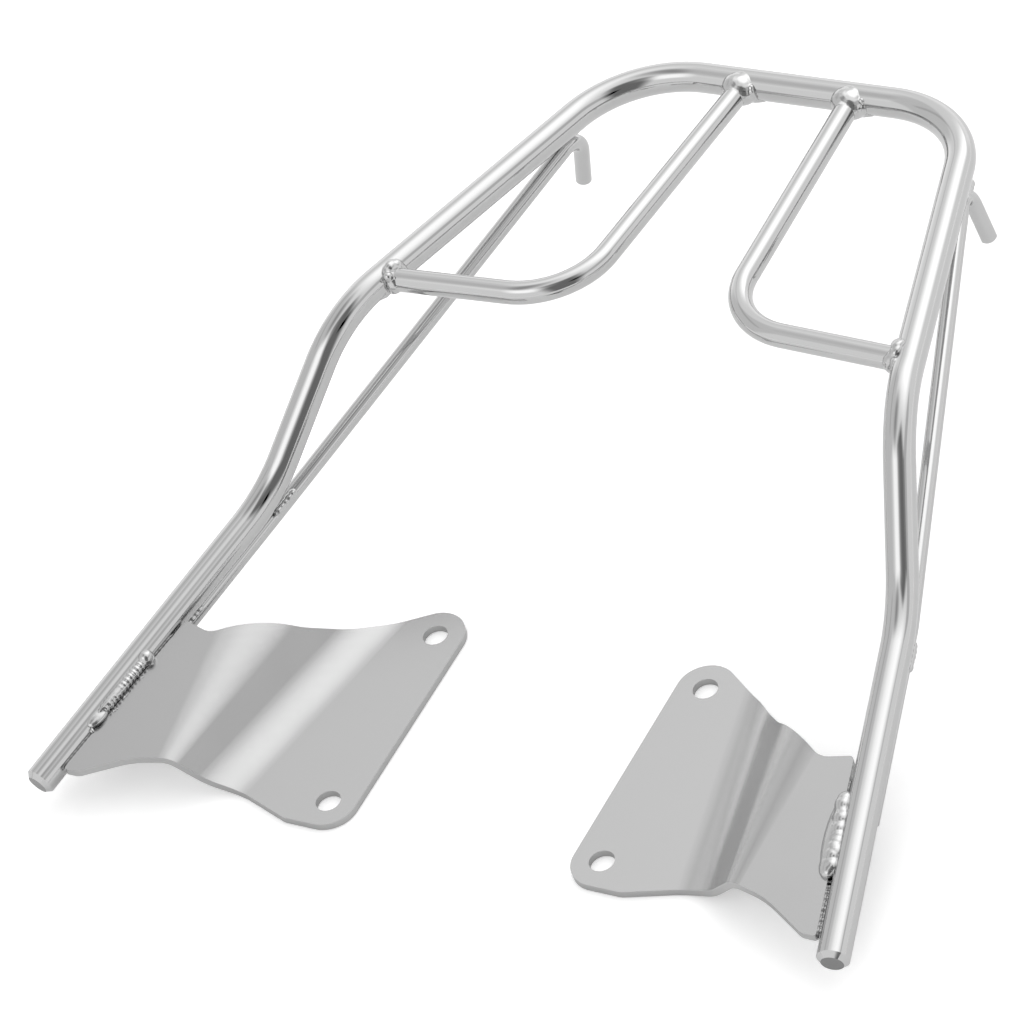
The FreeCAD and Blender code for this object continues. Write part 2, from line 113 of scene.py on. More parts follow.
# Smoothing steps after the ripples have melted together.
CAP_SMOOTH, FLARE_SMOOTH, ROOT_SMOOTH, ROD_SMOOTH = 5, 12, 5, 8


class RackBars(bpy.types.PropertyGroup):
    """Round bars of the rack."""
    loop_d: bpy.props.FloatProperty(name="Loop bar", description="Diameter of the deck loop and legs",
                                    default=13.0 * MM, unit="LENGTH")
    hoop_d: bpy.props.FloatProperty(name="Hoop bar", description="Diameter of the inner hoops",
                                    default=10.0 * MM, unit="LENGTH")
    rod_d: bpy.props.FloatProperty(name="Brace rod", description="Diameter of the brace rods and hooks",
                                   default=7.0 * MM, unit="LENGTH")
    leg_chamfer: bpy.props.FloatProperty(name="Leg chamfer", description="Chamfer on the leg ends",
                                         default=2.0 * MM, unit="LENGTH")
    hook_chamfer: bpy.props.FloatProperty(name="Hook chamfer", description="Chamfer on the rod ends",
                                          default=0.8 * MM, unit="LENGTH")
    segments: bpy.props.IntProperty(name="Segments", description="Faces round a bar", default=56, min=16)
    bend_step: bpy.props.FloatProperty(name="Bend step", description="Turn between two rings of a bend",
                                       default=math.radians(2.5), subtype="ANGLE")


class RackWelds(bpy.types.PropertyGroup):
    """Weld beads."""
    cap_r: bpy.props.FloatProperty(name="Cap", description="Radius of the cap over a hoop's rear end",
                                   default=8.2 * MM, unit="LENGTH")
    flare_r: bpy.props.FloatProperty(name="Flare", description="Radius of the flare at the side rail",
                                     default=7.4 * MM, unit="LENGTH")
    left_bead_r: bpy.props.FloatProperty(name="Left plate bead", default=3.5 * MM, unit="LENGTH",
                                         description="Radius of a ripple on the left plate")
    right_bead_r: bpy.props.FloatProperty(name="Right plate bead", default=2.8 * MM, unit="LENGTH",
                                          description="Radius of a ripple on the right plate")
    bead_pitch: bpy.props.FloatProperty(name="Ripple spacing", description="Spacing of the plate bead's ripples",
                                        default=2.0 * MM, unit="LENGTH")
    root_r: bpy.props.FloatProperty(name="Root bead", description="Radius of the bead under a plate",
                                    default=3.3 * MM, unit="LENGTH")
    root_pitch: bpy.props.FloatProperty(name="Root spacing", description="Spacing of the root bead's ripples",
                                        default=2.4 * MM, unit="LENGTH")
    root_depth: bpy.props.FloatProperty(name="Root depth", description="Root bead under the sheet's lower face",
                                        default=1.6 * MM, unit="LENGTH")
    tack_r: bpy.props.FloatProperty(name="Rod bead", description="Radius of a short bead beside a brace rod",
                                    default=2.2 * MM, unit="LENGTH")
    grid: bpy.props.FloatProperty(name="Melt grid", description="Grid on which ripples melt together",
                                  default=0.3 * MM, unit="LENGTH")


class RackColours(bpy.types.PropertyGroup):
    """Colours, as sRGB hex."""
    chrome: bpy.props.StringProperty(name="Bright plating", description="Chrome on the bars", default="C6C6C6")
    sheet: bpy.props.StringProperty(name="Satin plating", description="Plating on the sheet", default="BCBCBC")
    sawn: bpy.props.StringProperty(name="Sawn end", description="Plating on the sawn bar ends", default="8E8E8E")
    floor: bpy.props.StringProperty(name="Floor", description="Studio floor", default="F4F4F4")


def hex_to_linear(text):
    """sRGB hex to linear RGBA."""
    parts = [int(text[i:i + 2], 16) / 255 for i in (0, 2, 4)]
    return [p / 12.92 if p <= 0.04045 else ((p + 0.055) / 1.055) ** 2.4 for p in parts] + [1.0]


# Geometry helpers, in millimetres

def deck(u, v, w=0.0):
    """A point of the deck frame, in the part frame."""
    return DECK_ORIGIN + Matrix.Rotation(-DECK_TILT, 3, "Y") @ Vector((u, v, w))


def rail_v(u):
    """Half width of the side rail's axis at a given u."""
    return REAR_CORNER[1] + (UPPER_BEND[1] - REAR_CORNER[1]) * u / UPPER_BEND[0]


def mirrored(point):
    """A point on the other side of the middle plane."""
    return Vector((point.x, -point.y, point.z))


def leg_at(x):
    """Point on the left leg's axis at a given x."""
    start, end = deck(*LOWER_BEND), deck(*LEG_END)
    return start + (end - start) * ((x - start.x) / (end.x - start.x))


def leg_way():
    """Direction of the left leg, forward."""
    return (deck(*LEG_END) - deck(*LOWER_BEND)).normalized()


def seam_at(x, lift):
    """Middle of the gap between left plate and leg, at a lift over the underside of the plate."""
    plan = Vector((leg_way().x, leg_way().y, 0)).normalized()
    bar_r = bpy.context.scene.rack_bars.loop_d / 2 / MM
    rise = RISE_REAR + (RISE_FRONT - RISE_REAR) * (x + HOLE_X) / (2 * HOLE_X)
    return Vector((x, leg_at(x).y - (bar_r + PLATE_GAP / 2) / plan.x, rise + lift))


def under_leg():
    """Direction square to the leg, downwards."""
    way = leg_way()
    down = Vector((0, 0, -1))
    return (down - way * down.dot(way)).normalized()


# Mesh helpers

def deselect():
    """Nothing selected, no active object."""
    if bpy.context.object and bpy.context.object.mode != "OBJECT":
        bpy.ops.object.mode_set(mode="OBJECT")
    bpy.ops.object.select_all(action="DESELECT")
    bpy.context.view_layer.objects.active = None


def pick(obj):
    """Only this object selected and active."""
    deselect()
    obj.select_set(True)
    bpy.context.view_layer.objects.active = obj


def settle(obj):
    """Place, turn and size go into the mesh."""
    pick(obj)
    bpy.ops.object.transform_apply(location=True, rotation=True, scale=True)


def apply_modifier(obj, kind, **settings):
    """Adds a modifier with its settings and applies it."""
    pick(obj)
    modifier = obj.modifiers.new(kind.lower(), kind)
    for name, value in settings.items():
        setattr(modifier, name, value)
    bpy.ops.object.modifier_apply(modifier=modifier.name)


def hand_over(obj, name, nodes, material):
    """The finished piece: named, riding on the rack, standing for its nodes, with its material."""
    obj.name = name
    obj.data.name = name
    obj.data.materials.clear()
    obj.data.materials.append(material)
    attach(obj, "root")
    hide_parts(*nodes)


def sawn_ends(bar, ends, material):
    """The flat ends of a bar take a second material. Ends in millimetres."""
    bar.data.materials.append(material)
    pick(bar)
    bar.active_material_index = 1
    bpy.ops.object.mode_set(mode="EDIT")
    bpy.ops.mesh.select_mode(type="FACE")
    bpy.ops.mesh.select_all(action="DESELECT")
    bpy.ops.object.mode_set(mode="OBJECT")
    for face in bar.data.polygons:
        face.select = any((face.center - end * MM).length < SAME_FACE for end in ends)
    bpy.ops.object.mode_set(mode="EDIT")
    bpy.ops.object.material_slot_assign()
    bpy.ops.mesh.select_mode(type="VERT")
    bpy.ops.object.mode_set(mode="OBJECT")


def flip(obj):
    """Moves a piece across the middle plane, faces outward."""
    pick(obj)
    bpy.ops.object.mode_set(mode="EDIT")
    bpy.ops.mesh.select_all(action="SELECT")
    bpy.ops.transform.resize(value=(1, -1, 1), center_override=(0, 0, 0))
    bpy.ops.mesh.normals_make_consistent(inside=False)
    bpy.ops.object.mode_set(mode="OBJECT")


def other_side(obj, name):
    """A mirrored copy with its own mesh and outward faces."""
    pick(obj)
    bpy.ops.object.duplicate()
    copy = bpy.context.object
    copy.name = name
    flip(copy)
    return copy


def select_near(obj, test):
    """In edit mode, selects only the vertices whose place passes the test."""
    bpy.ops.mesh.select_all(action="DESELECT")
    bpy.ops.object.mode_set(mode="OBJECT")
    for vertex in obj.data.vertices:
        vertex.select = test(vertex.co)
    bpy.ops.object.mode_set(mode="EDIT")


def bent_bar(name, points, radii, bar_r, segments, bend_step, start_chamfer=0.0, end_chamfer=0.0):
    """A round bar, extruded along its straight runs and spun through its bends. Lengths in metres."""
    points = [Vector(p) * MM for p in points]
    radii = [r * MM for r in radii]
    way = (points[1] - points[0]).normalized()
    deselect()
    bpy.ops.mesh.primitive_circle_add(vertices=segments, radius=bar_r - start_chamfer, fill_type="NOTHING",
                                      location=points[0], rotation=way.to_track_quat("Z", "Y").to_euler())
    bar = bpy.context.object
    settle(bar)
    bpy.ops.object.mode_set(mode="EDIT")
    bpy.ops.mesh.select_mode(type="VERT")
    bpy.ops.mesh.select_all(action="SELECT")
    bpy.ops.mesh.extrude_region_move(TRANSFORM_OT_translate={"value": way * start_chamfer})
    here = points[0] + way * start_chamfer
    grow = bar_r / (bar_r - start_chamfer)
    bpy.ops.transform.resize(value=(grow, grow, grow), center_override=here)
    for before, corner, after, radius in zip(points, points[1:], points[2:], radii):
        into, out = (corner - before).normalized(), (after - corner).normalized()
        turn = into.angle(out)
        reach = radius * math.tan(turn / 2)
        start, end = corner - into * reach, corner + out * reach
        bpy.ops.mesh.extrude_region_move(TRANSFORM_OT_translate={"value": start - here})
        axis = into.cross(out).normalized()
        centre = start + axis.cross(into) * radius
        steps = max(MIN_BEND_RINGS, math.ceil(turn / bend_step))
        bpy.ops.mesh.spin(steps=steps, angle=-turn, center=centre, axis=axis)
        here = end
    way = (points[-1] - points[-2]).normalized()
    last = points[-1] - way * end_chamfer
    bpy.ops.mesh.extrude_region_move(TRANSFORM_OT_translate={"value": last - here})
    if end_chamfer:
        bpy.ops.mesh.extrude_region_move(TRANSFORM_OT_translate={"value": way * end_chamfer})
        shrink = (bar_r - end_chamfer) / bar_r
        bpy.ops.transform.resize(value=(shrink, shrink, shrink), center_override=points[-1])
    bpy.ops.mesh.edge_face_add()
    # The far end is closed. Now the ring at the first point is.
    first_way = (points[1] - points[0]).normalized()
    select_near(bar, lambda co: abs((co - points[0]).dot(first_way)) < FLAT_END
                and (co - points[0]).length < 2 * bar_r)
    bpy.ops.mesh.edge_face_add()
    bpy.ops.mesh.select_all(action="SELECT")
    bpy.ops.mesh.remove_doubles(threshold=SAME_POINT)
    bpy.ops.mesh.normals_make_consistent(inside=False)
    bpy.ops.object.mode_set(mode="OBJECT")
    bpy.ops.object.shade_smooth_by_angle(angle=SMOOTH_ANGLE)
    if min((vertex.co - points[-1]).length for vertex in bar.data.vertices) > bar_r:
        raise RuntimeError(name + ": the bar doesn't reach its end")
    bar.name = name
    return bar


# Materials

def new_material(name):
    """An empty node material and its Principled shader."""
    material = bpy.data.materials.new(name)
    material.use_nodes = True
    tree = material.node_tree
    tree.nodes.clear()
    output = tree.nodes.new("ShaderNodeOutputMaterial")
    shader = tree.nodes.new("ShaderNodeBsdfPrincipled")
    tree.links.new(shader.outputs["BSDF"], output.inputs["Surface"])
    return material, tree, shader


def add(tree, kind, settings=None, links=None):
    """Adds one node, with its settings by name and its inputs as values or sockets."""
    node = tree.nodes.new(kind)
    for name, value in (settings or {}).items():
        setattr(node, name, value)
    for name, value in (links or {}).items():
        if isinstance(value, bpy.types.NodeSocket):
            tree.links.new(value, node.inputs[name])
        else:
            node.inputs[name].default_value = value
    return node


def arithmetic(tree, operation, *values):
    """One math node. Values are numbers or sockets."""
    node = add(tree, "ShaderNodeMath", {"operation": operation})
    for i, value in enumerate(values):
        if isinstance(value, bpy.types.NodeSocket):
            tree.links.new(value, node.inputs[i])
        else:
            node.inputs[i].default_value = value
    return node.outputs[0]


def bright_chrome():
    """Chrome plate over polished steel bar.

    The eye sees a cool mirror with sharp streaks. The bar was drawn, bent and polished by hand, so
    the streaks waver a little along it and blur slightly in places.
    """
    material, tree, shader = new_material("chrome_plated_bar")
    colours = bpy.context.scene.rack_colours
    place = add(tree, "ShaderNodeTexCoord").outputs["Object"]
    shader.inputs["Metallic"].default_value = 1.0
    shader.inputs["Base Color"].default_value = hex_to_linear(colours.chrome)
    haze = add(tree, "ShaderNodeTexNoise", None,
               {"Vector": place, "Scale": 1 / (14 * MM), "Detail": 3.0, "Roughness": 0.6})
    rough = add(tree, "ShaderNodeMapRange", None,
                {"Value": haze.outputs["Fac"], "From Min": 0.3, "From Max": 0.7, "To Min": 0.05, "To Max": 0.11})
    tree.links.new(rough.outputs["Result"], shader.inputs["Roughness"])
    waver = add(tree, "ShaderNodeTexNoise", None,
                {"Vector": place, "Scale": 1 / (22 * MM), "Detail": 1.0, "Roughness": 0.4})
    bump = add(tree, "ShaderNodeBump", None,
               {"Height": waver.outputs["Fac"], "Strength": 0.25, "Distance": 0.25 * MM})
    tree.links.new(bump.outputs["Normal"], shader.inputs["Normal"])
    return material


def sawn_steel():
    """Chrome plate over a sawn bar end that was never polished.

    The eye sees a darker, dull face with fine saw marks.
    """
    material, tree, shader = new_material("plated_sawn_end")
    place = add(tree, "ShaderNodeTexCoord").outputs["Object"]
    shader.inputs["Metallic"].default_value = 1.0
    shader.inputs["Base Color"].default_value = hex_to_linear(bpy.context.scene.rack_colours.sawn)
    shader.inputs["Roughness"].default_value = 0.38
    # Saw marks are about 0.1 mm apart. They are drawn at 0.7 mm so that they show.
    marks = add(tree, "ShaderNodeTexWave", {"wave_type": "BANDS", "bands_direction": "Y"},
                {"Vector": place, "Scale": 1 / (2 * math.pi * 0.7 * MM), "Distortion": 2.0, "Detail": 2.0})
    bump = add(tree, "ShaderNodeBump", None,
               {"Height": marks.outputs["Fac"], "Strength": 0.3, "Distance": 0.06 * MM})
    tree.links.new(bump.outputs["Normal"], shader.inputs["Normal"])
    return material


def satin_chrome():
    """Plating over rolled sheet that was never polished.

    The eye sees broad soft reflections with a fine grain and a faint cloudiness.
    """
    material, tree, shader = new_material("satin_plated_sheet")
    colours = bpy.context.scene.rack_colours
    place = add(tree, "ShaderNodeTexCoord").outputs["Object"]
    shader.inputs["Metallic"].default_value = 1.0
    shader.inputs["Base Color"].default_value = hex_to_linear(colours.sheet)
    cloud = add(tree, "ShaderNodeTexNoise", None,
                {"Vector": place, "Scale": 1 / (25 * MM), "Detail": 4.0, "Roughness": 0.6})
    rough = add(tree, "ShaderNodeMapRange", None,
                {"Value": cloud.outputs["Fac"], "From Min": 0.3, "From Max": 0.7, "To Min": 0.21, "To Max": 0.26})
    tree.links.new(rough.outputs["Result"], shader.inputs["Roughness"])
    # The sheet's grain is about 0.1 mm. It is drawn at 0.6 mm so that it shows.
    grain = add(tree, "ShaderNodeTexNoise", None,
                {"Vector": place, "Scale": 1 / (0.6 * MM), "Detail": 2.0, "Roughness": 0.5})
    bump = add(tree, "ShaderNodeBump", None,
               {"Height": grain.outputs["Fac"], "Strength": 0.30, "Distance": 0.05 * MM})
    tree.links.new(bump.outputs["Normal"], shader.inputs["Normal"])
    return material


def plated_weld():
    """Chrome plate over arc weld, left as it ran.

    The eye sees a bright, lumpy mirror: short broken highlights and small dark pits.
    """
    material, tree, shader = new_material("plated_weld_bead")
    colours = bpy.context.scene.rack_colours
    place = add(tree, "ShaderNodeTexCoord").outputs["Object"]
    shader.inputs["Metallic"].default_value = 1.0
    shader.inputs["Base Color"].default_value = hex_to_linear(colours.chrome)
    shader.inputs["Roughness"].default_value = 0.14
    lumps = add(tree, "ShaderNodeTexNoise", None,
                {"Vector": place, "Scale": 1 / (2.2 * MM), "Detail": 3.0, "Roughness": 0.55})
    bump = add(tree, "ShaderNodeBump", None,
               {"Height": lumps.outputs["Fac"], "Strength": 0.35, "Distance": 0.25 * MM})
    tree.links.new(bump.outputs["Normal"], shader.inputs["Normal"])
    return material


def material_named(name, maker):
    """The material, made once."""
    return bpy.data.materials.get(name) or maker()


# Weld ripples

def ripple(centre, way, out, length, width, height):
    """One ripple of weld: a flattened ball, long along the seam, higher along out. Millimetres."""
    deselect()
    side = out.cross(way).normalized()
    turn = Matrix((way, side, out)).transposed().to_4x4()
    bpy.ops.mesh.primitive_uv_sphere_add(segments=24, ring_count=12, radius=1.0)
    drop = bpy.context.object
    drop.matrix_world = (Matrix.Translation(centre * MM) @ turn
                         @ Matrix.Diagonal((length * MM, width * MM, height * MM, 1.0)))
    settle(drop)
    bpy.ops.object.mode_set(mode="EDIT")
    bpy.ops.mesh.select_all(action="SELECT")
    bpy.ops.mesh.normals_make_consistent(inside=False)
    bpy.ops.object.mode_set(mode="OBJECT")
    return drop


def melt(drops, name, grid, smooth):
    """Joins ripples into one closed skin."""
    deselect()
    for drop in drops:
        drop.select_set(True)
    bpy.context.view_layer.objects.active = drops[0]
    if len(drops) > 1:
        bpy.ops.object.join()
    bead = bpy.context.object
    bead.name = name
    apply_modifier(bead, "REMESH", mode="VOXEL", voxel_size=grid, use_smooth_shade=True)
    apply_modifier(bead, "SMOOTH", factor=0.5, iterations=smooth)
    pick(bead)
    bpy.ops.object.shade_smooth()
    return bead


def weld_piece(drops, side, name, node, grid, smooth, material):
    """Melts drops that were set on the left, moves them across for the right, and hands them over."""
    bead = melt(drops, side + name, grid, smooth)
    if side == "right":
        flip(bead)
    hand_over(bead, side + name, [side + node], material)


def run_out(start, along, corner, hoop_r, bar_r, steps):
    """Ever smaller drops along a bar, where a weld rounds off the corner beside a hoop."""
    drops = []
    for reach, size in steps:
        foot = start + along * (hoop_r + reach) + corner * (bar_r - 0.5 * size)
        drops.append(ripple(foot, along, corner, size * 1.2, size, size))
    return drops


class RACK_OT_bars(bpy.types.Operator):
    """Bends the loop, the hoops and the brace rods, and plates them"""
    bl_idname = "rack.bars"
    bl_label = "Bars"

    def execute(self, context):
        sizes = context.scene.rack_bars
        chrome = material_named("chrome_plated_bar", bright_chrome)
        sawn = material_named("plated_sawn_end", sawn_steel)
        left = [deck(*LEG_END), deck(*LOWER_BEND), deck(*UPPER_BEND), deck(*REAR_CORNER)]
        loop = bent_bar("loop_bar", left + [mirrored(p) for p in reversed(left)],
                        LOOP_RADII + tuple(reversed(LOOP_RADII)), sizes.loop_d / 2, sizes.segments,
                        sizes.bend_step, sizes.leg_chamfer, sizes.leg_chamfer)
        hand_over(loop, "loop_bar", ["main_loop"], chrome)
        sawn_ends(loop, [left[0], mirrored(left[0])], sawn)

        start, corner = deck(*HOOP_START), deck(*HOOP_CORNER)
        end = deck(HOOP_RAIL_U, rail_v(HOOP_RAIL_U))
        sink = sizes.loop_d / 2 / MM * HOOP_SINK
        start = start + (corner - start).normalized() * sink
        end = end + (corner - end).normalized() * sink
        hoop = bent_bar("left_hoop_bar", [start, corner, end], [HOOP_BEND], sizes.hoop_d / 2, sizes.segments,
                        sizes.bend_step)
        right = other_side(hoop, "right_hoop_bar")
        hand_over(hoop, "left_hoop_bar", ["left_inner_hoop"], chrome)
        hand_over(right, "right_hoop_bar", ["right_inner_hoop"], chrome)

        touch = (sizes.loop_d + sizes.rod_d) / 2 / MM + ROD_GAP
        knee = deck(*LOWER_BEND) + under_leg() * touch
        tail = knee + leg_way() * ROD_TAIL
        hook_way = (Matrix.Rotation(-DECK_TILT, 3, "Y") @ Matrix.Rotation(HOOK_SPLAY, 3, "X")
                    @ Vector((0, 0, -1)))
        hook = deck(HOOK_U, rail_v(HOOK_U) + HOOK_OUT, -touch)
        into = (hook - knee).normalized()
        turn = into.angle(hook_way)
        # The crown of the bend, and not its corner, touches the rail.
        reach = HOOK_BEND * math.tan(turn / 2)
        axis = into.cross(hook_way).normalized()
        centre = hook - into * reach + axis.cross(into) * HOOK_BEND
        crown = centre.z + HOOK_BEND * math.sqrt(max(0.0, 1 - axis.z ** 2))
        hook = deck(HOOK_U, rail_v(HOOK_U) + HOOK_OUT, -touch + (hook.z - crown))
        tip = hook + hook_way * HOOK_LENGTH
        rod = bent_bar("left_brace_bar", [tail, knee, hook, tip], [ROD_BEND, HOOK_BEND], sizes.rod_d / 2,
                       sizes.segments, sizes.bend_step, sizes.hook_chamfer, sizes.hook_chamfer)
        right = other_side(rod, "right_brace_bar")
        hand_over(rod, "left_brace_bar", ["left_brace_rod"], chrome)
        hand_over(right, "right_brace_bar", ["right_brace_rod"], chrome)
        sawn_ends(rod, [tip, tail], sawn)
        sawn_ends(right, [mirrored(tip), mirrored(tail)], sawn)
        return {"FINISHED"}


class RACK_OT_plates(bpy.types.Operator):
    """Gives the folded mounting plates their satin plating"""
    bl_idname = "rack.plates"
    bl_label = "Plates"

    def execute(self, context):
        satin = material_named("satin_plated_sheet", satin_chrome)
        for name in ("left_mounting_plate", "right_mounting_plate"):
            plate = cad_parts[name]
            plate.data.materials.clear()
            plate.data.materials.append(satin)
        return {"FINISHED"}


class RACK_OT_hoop_caps(bpy.types.Operator):
    """Welds the hoops to the rear bar: a round cap, a row of lumps and a run-out along the bar"""
    bl_idname = "rack.hoop_caps"
    bl_label = "Hoop caps"

    def execute(self, context):
        sizes, bars = context.scene.rack_welds, context.scene.rack_bars
        weld = material_named("plated_weld_bead", plated_weld)
        bar_r, hoop_r, cap_r = bars.loop_d / 2 / MM, bars.hoop_d / 2 / MM, sizes.cap_r / MM
        start = deck(*HOOP_START)
        way = (deck(*HOOP_CORNER) - start).normalized()
        up = Vector((0, 0, 1)) - way * way.z
        up.normalize()
        side = up.cross(way)
        # Both caps were finished towards the rack's left, so their lumps lie on that side.
        for name, lean in (("left", 1), ("right", -1)):
            chance = random.Random(11 + lean)
            crown = Vector((-0.20, 0.40 * lean, 0.90))
            crown = (crown - way * crown.dot(way)).normalized()
            drops = [ripple(start + way * 5.0 + crown * 0.9, way, crown, cap_r * 0.92, cap_r * 1.0, cap_r * 0.78),
                     ripple(start + way * 2.4, way, up, cap_r * 0.82, cap_r * 1.12, cap_r * 0.85)]
            for i in range(CAP_LUMPS):
                angle = lean * math.radians(CAP_FIRST + CAP_STEP * i + CAP_SCATTER * chance.random())
                out = up * max(math.cos(angle), CAP_LOWEST) + side * math.sin(angle)
                # The foot of the weld follows the saddle where the cap meets the bar.
                saddle = math.sqrt(bar_r ** 2 - min(bar_r - 1.2, abs(math.cos(angle)) * cap_r) ** 2)
                foot = start + out * (cap_r - 0.9) + way * (saddle - 0.5 + 0.8 * chance.random())
                size = 1.2 + 0.7 * chance.random()
                drops.append(ripple(foot, out.cross(way), (out + way).normalized(), size, size * 0.9, size))
            # The weld runs out along the bar on that side and rounds off the inner corner.
            lower = Vector((0.75, 0, -0.66))
            drops += run_out(start, Vector((0, lean, 0)), lower, hoop_r, bar_r, CAP_RUN_OUT)
            weld_piece(drops, name, "_hoop_cap", "_hoop_rear_weld", sizes.grid, CAP_SMOOTH, weld)
        return {"FINISHED"}


class RACK_OT_hoop_flares(bpy.types.Operator):
    """Welds the hoops to the side rails with a flare of ripples"""
    bl_idname = "rack.hoop_flares"
    bl_label = "Hoop flares"

    def execute(self, context):
        sizes, bars = context.scene.rack_welds, context.scene.rack_bars
        weld = material_named("plated_weld_bead", plated_weld)
        bar_r, hoop_r, flare_r = bars.loop_d / 2 / MM, bars.hoop_d / 2 / MM, sizes.flare_r / MM
        end = deck(HOOP_RAIL_U, rail_v(HOOP_RAIL_U))
        way = (deck(*HOOP_CORNER) - end).normalized()
        up = Vector((0, 0, 1))
        side = up.cross(way)
        along = (deck(HOOP_RAIL_U + 1, rail_v(HOOP_RAIL_U + 1)) - end).normalized()
        for name, seed in (("left", 5), ("right", 9)):
            chance = random.Random(seed)
            drops = []
            for i in range(FLARE_LUMPS):
                angle = 2 * math.pi * i / FLARE_LUMPS
                out = up * math.cos(angle) + side * math.sin(angle)
                saddle = math.sqrt(bar_r ** 2 - (hoop_r * math.cos(angle)) ** 2)
                # The weld was pulled backwards over the top of the rail, so it is fuller there.
                full = max(0.0, math.cos(angle - math.radians(FLARE_FULL)))
                size = (2.3 + 0.2 * chance.random()) * (1.0 + 0.50 * full)
                foot = end + out * (flare_r * (0.90 + 0.34 * full) - size) + way * (saddle + 0.8 - 0.6 * full)
                round_hoop, away = out.cross(way), (out + way).normalized()
                drops.append(ripple(foot, round_hoop, away, size * 1.25, size, size * 0.75))
                foot = end + out * (hoop_r - 0.9) + way * (saddle + 2.0)
                drops.append(ripple(foot, round_hoop, away, 2.4, 2.5, 1.5))
            if name == "right":
                # Here the welder stopped in front of the hoop and left a round drop.
                angle = math.radians(FLARE_DROP)
                out = up * math.cos(angle) + side * math.sin(angle)
                drops.append(ripple(end + out * (hoop_r + 1.4) + way * 6.2, way, up, 2.1, 2.1, 2.1))
            # In front of the hoop the weld runs out along the rail, over its top on the left.
            corner = (way * 0.80 + up * (0.60 if name == "left" else -0.60)).normalized()
            drops += run_out(end, along, corner, hoop_r, bar_r, FLARE_RUN_OUT)
            weld_piece(drops, name, "_hoop_flare", "_hoop_rail_weld", sizes.grid, FLARE_SMOOTH, weld)
        return {"FINISHED"}


class RACK_OT_plate_beads(bpy.types.Operator):
    """Welds the plates to the legs with rippled beads"""
    bl_idname = "rack.plate_beads"
    bl_label = "Plate beads"

    def execute(self, context):
        sizes = context.scene.rack_welds
        weld = material_named("plated_weld_bead", plated_weld)
        way, out = leg_way(), Vector((0, -0.25, 1)).normalized()
        for side, first, last, shift, length, height, uneven, smooth in PLATE_BEADS:
            shift = Vector(shift)
            bead_r = getattr(sizes, side + "_bead_r") / MM
            count = round((last - first) / (sizes.bead_pitch / MM))
            chance = random.Random(3)
            drops = []
            for i in range(count + 1):
                size = bead_r * (0.96 + 0.24 * uneven * (chance.random() - 0.5))
                x = first + (last - first) * i / count + 0.9 * uneven * (chance.random() - 0.5)
                centre = seam_at(x, SHEET_T) + shift
                centre.y += 0.9 * uneven * (chance.random() - 0.5)
                drops.append(ripple(centre, way, out, size * length, size, size * height))
            if side == "left":
                # A flat foot spreads over the plate, and the front end was gone over again with a tongue.
                middle = seam_at((first + last) / 2, SHEET_T) + Vector((0, -1.3, 0))
                drops.append(ripple(middle, way, out, (last - first) / 2 + 5.0, 5.0, 2.9))
                tongue = seam_at(last - 0.5, SHEET_T) + Vector((0, -1.3, 0.5))
                drops.append(ripple(tongue, way, out, 6.2, 4.0, 2.9))
            else:
                # The ripples stand only a little above an even run. It ends in a round drop at the rear
                # and runs thin at the front, and small spatter lies beside it on the plate.
                middle = seam_at((first + last) / 2, SHEET_T) + shift
                drops.append(ripple(middle, way, out, (last - first) / 2 + 4.0, bead_r * 0.80, bead_r * 0.62))
                drops.append(ripple(seam_at(first, SHEET_T) + shift, way, out, 3.6, 3.4, 3.3))
                drops.append(ripple(seam_at(last + 4.5, SHEET_T) + shift, way, out, 6.0, 3.2, 1.6))
                tip = seam_at(last + 10.5, SHEET_T) + Vector((0, 0.4, 0))
                drops.append(ripple(tip, way, out, 1.2, 1.2, 1.1))
                for _ in range(SPATTER):
                    spot = seam_at(first + (last - first) * chance.random(), SHEET_T)
                    spot.y -= 1.4 + 1.2 * chance.random() ** 2
                    size = 0.30 + 0.25 * chance.random()
                    drops.append(ripple(spot, way, Vector((0, 0, 1)), size * 1.2, size * 1.2, size))
            weld_piece(drops, side, "_plate_bead", "_plate_top_weld", sizes.grid, smooth, weld)

        root_r = sizes.root_r / MM
        low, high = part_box("left_plate_root_weld")
        first, last = low.x / MM + root_r, high.x / MM - root_r
        count = round((last - first) / (sizes.root_pitch / MM))
        for side, depth in ROOT_BEADS:
            chance = random.Random(8)
            drops = []
            for i in range(count + 1):
                x = first + (last - first) * i / count
                size = root_r * (0.92 + 0.12 * chance.random())
                drops.append(ripple(seam_at(x, -sizes.root_depth / MM), way, -out, size * 0.75, size, size * 0.85))
                drops.append(ripple(seam_at(x, depth), way, out, 4.0, 0.95, 1.6))
            weld_piece(drops, side, "_root_bead", "_plate_root_weld", sizes.grid, ROOT_SMOOTH, weld)
        return {"FINISHED"}


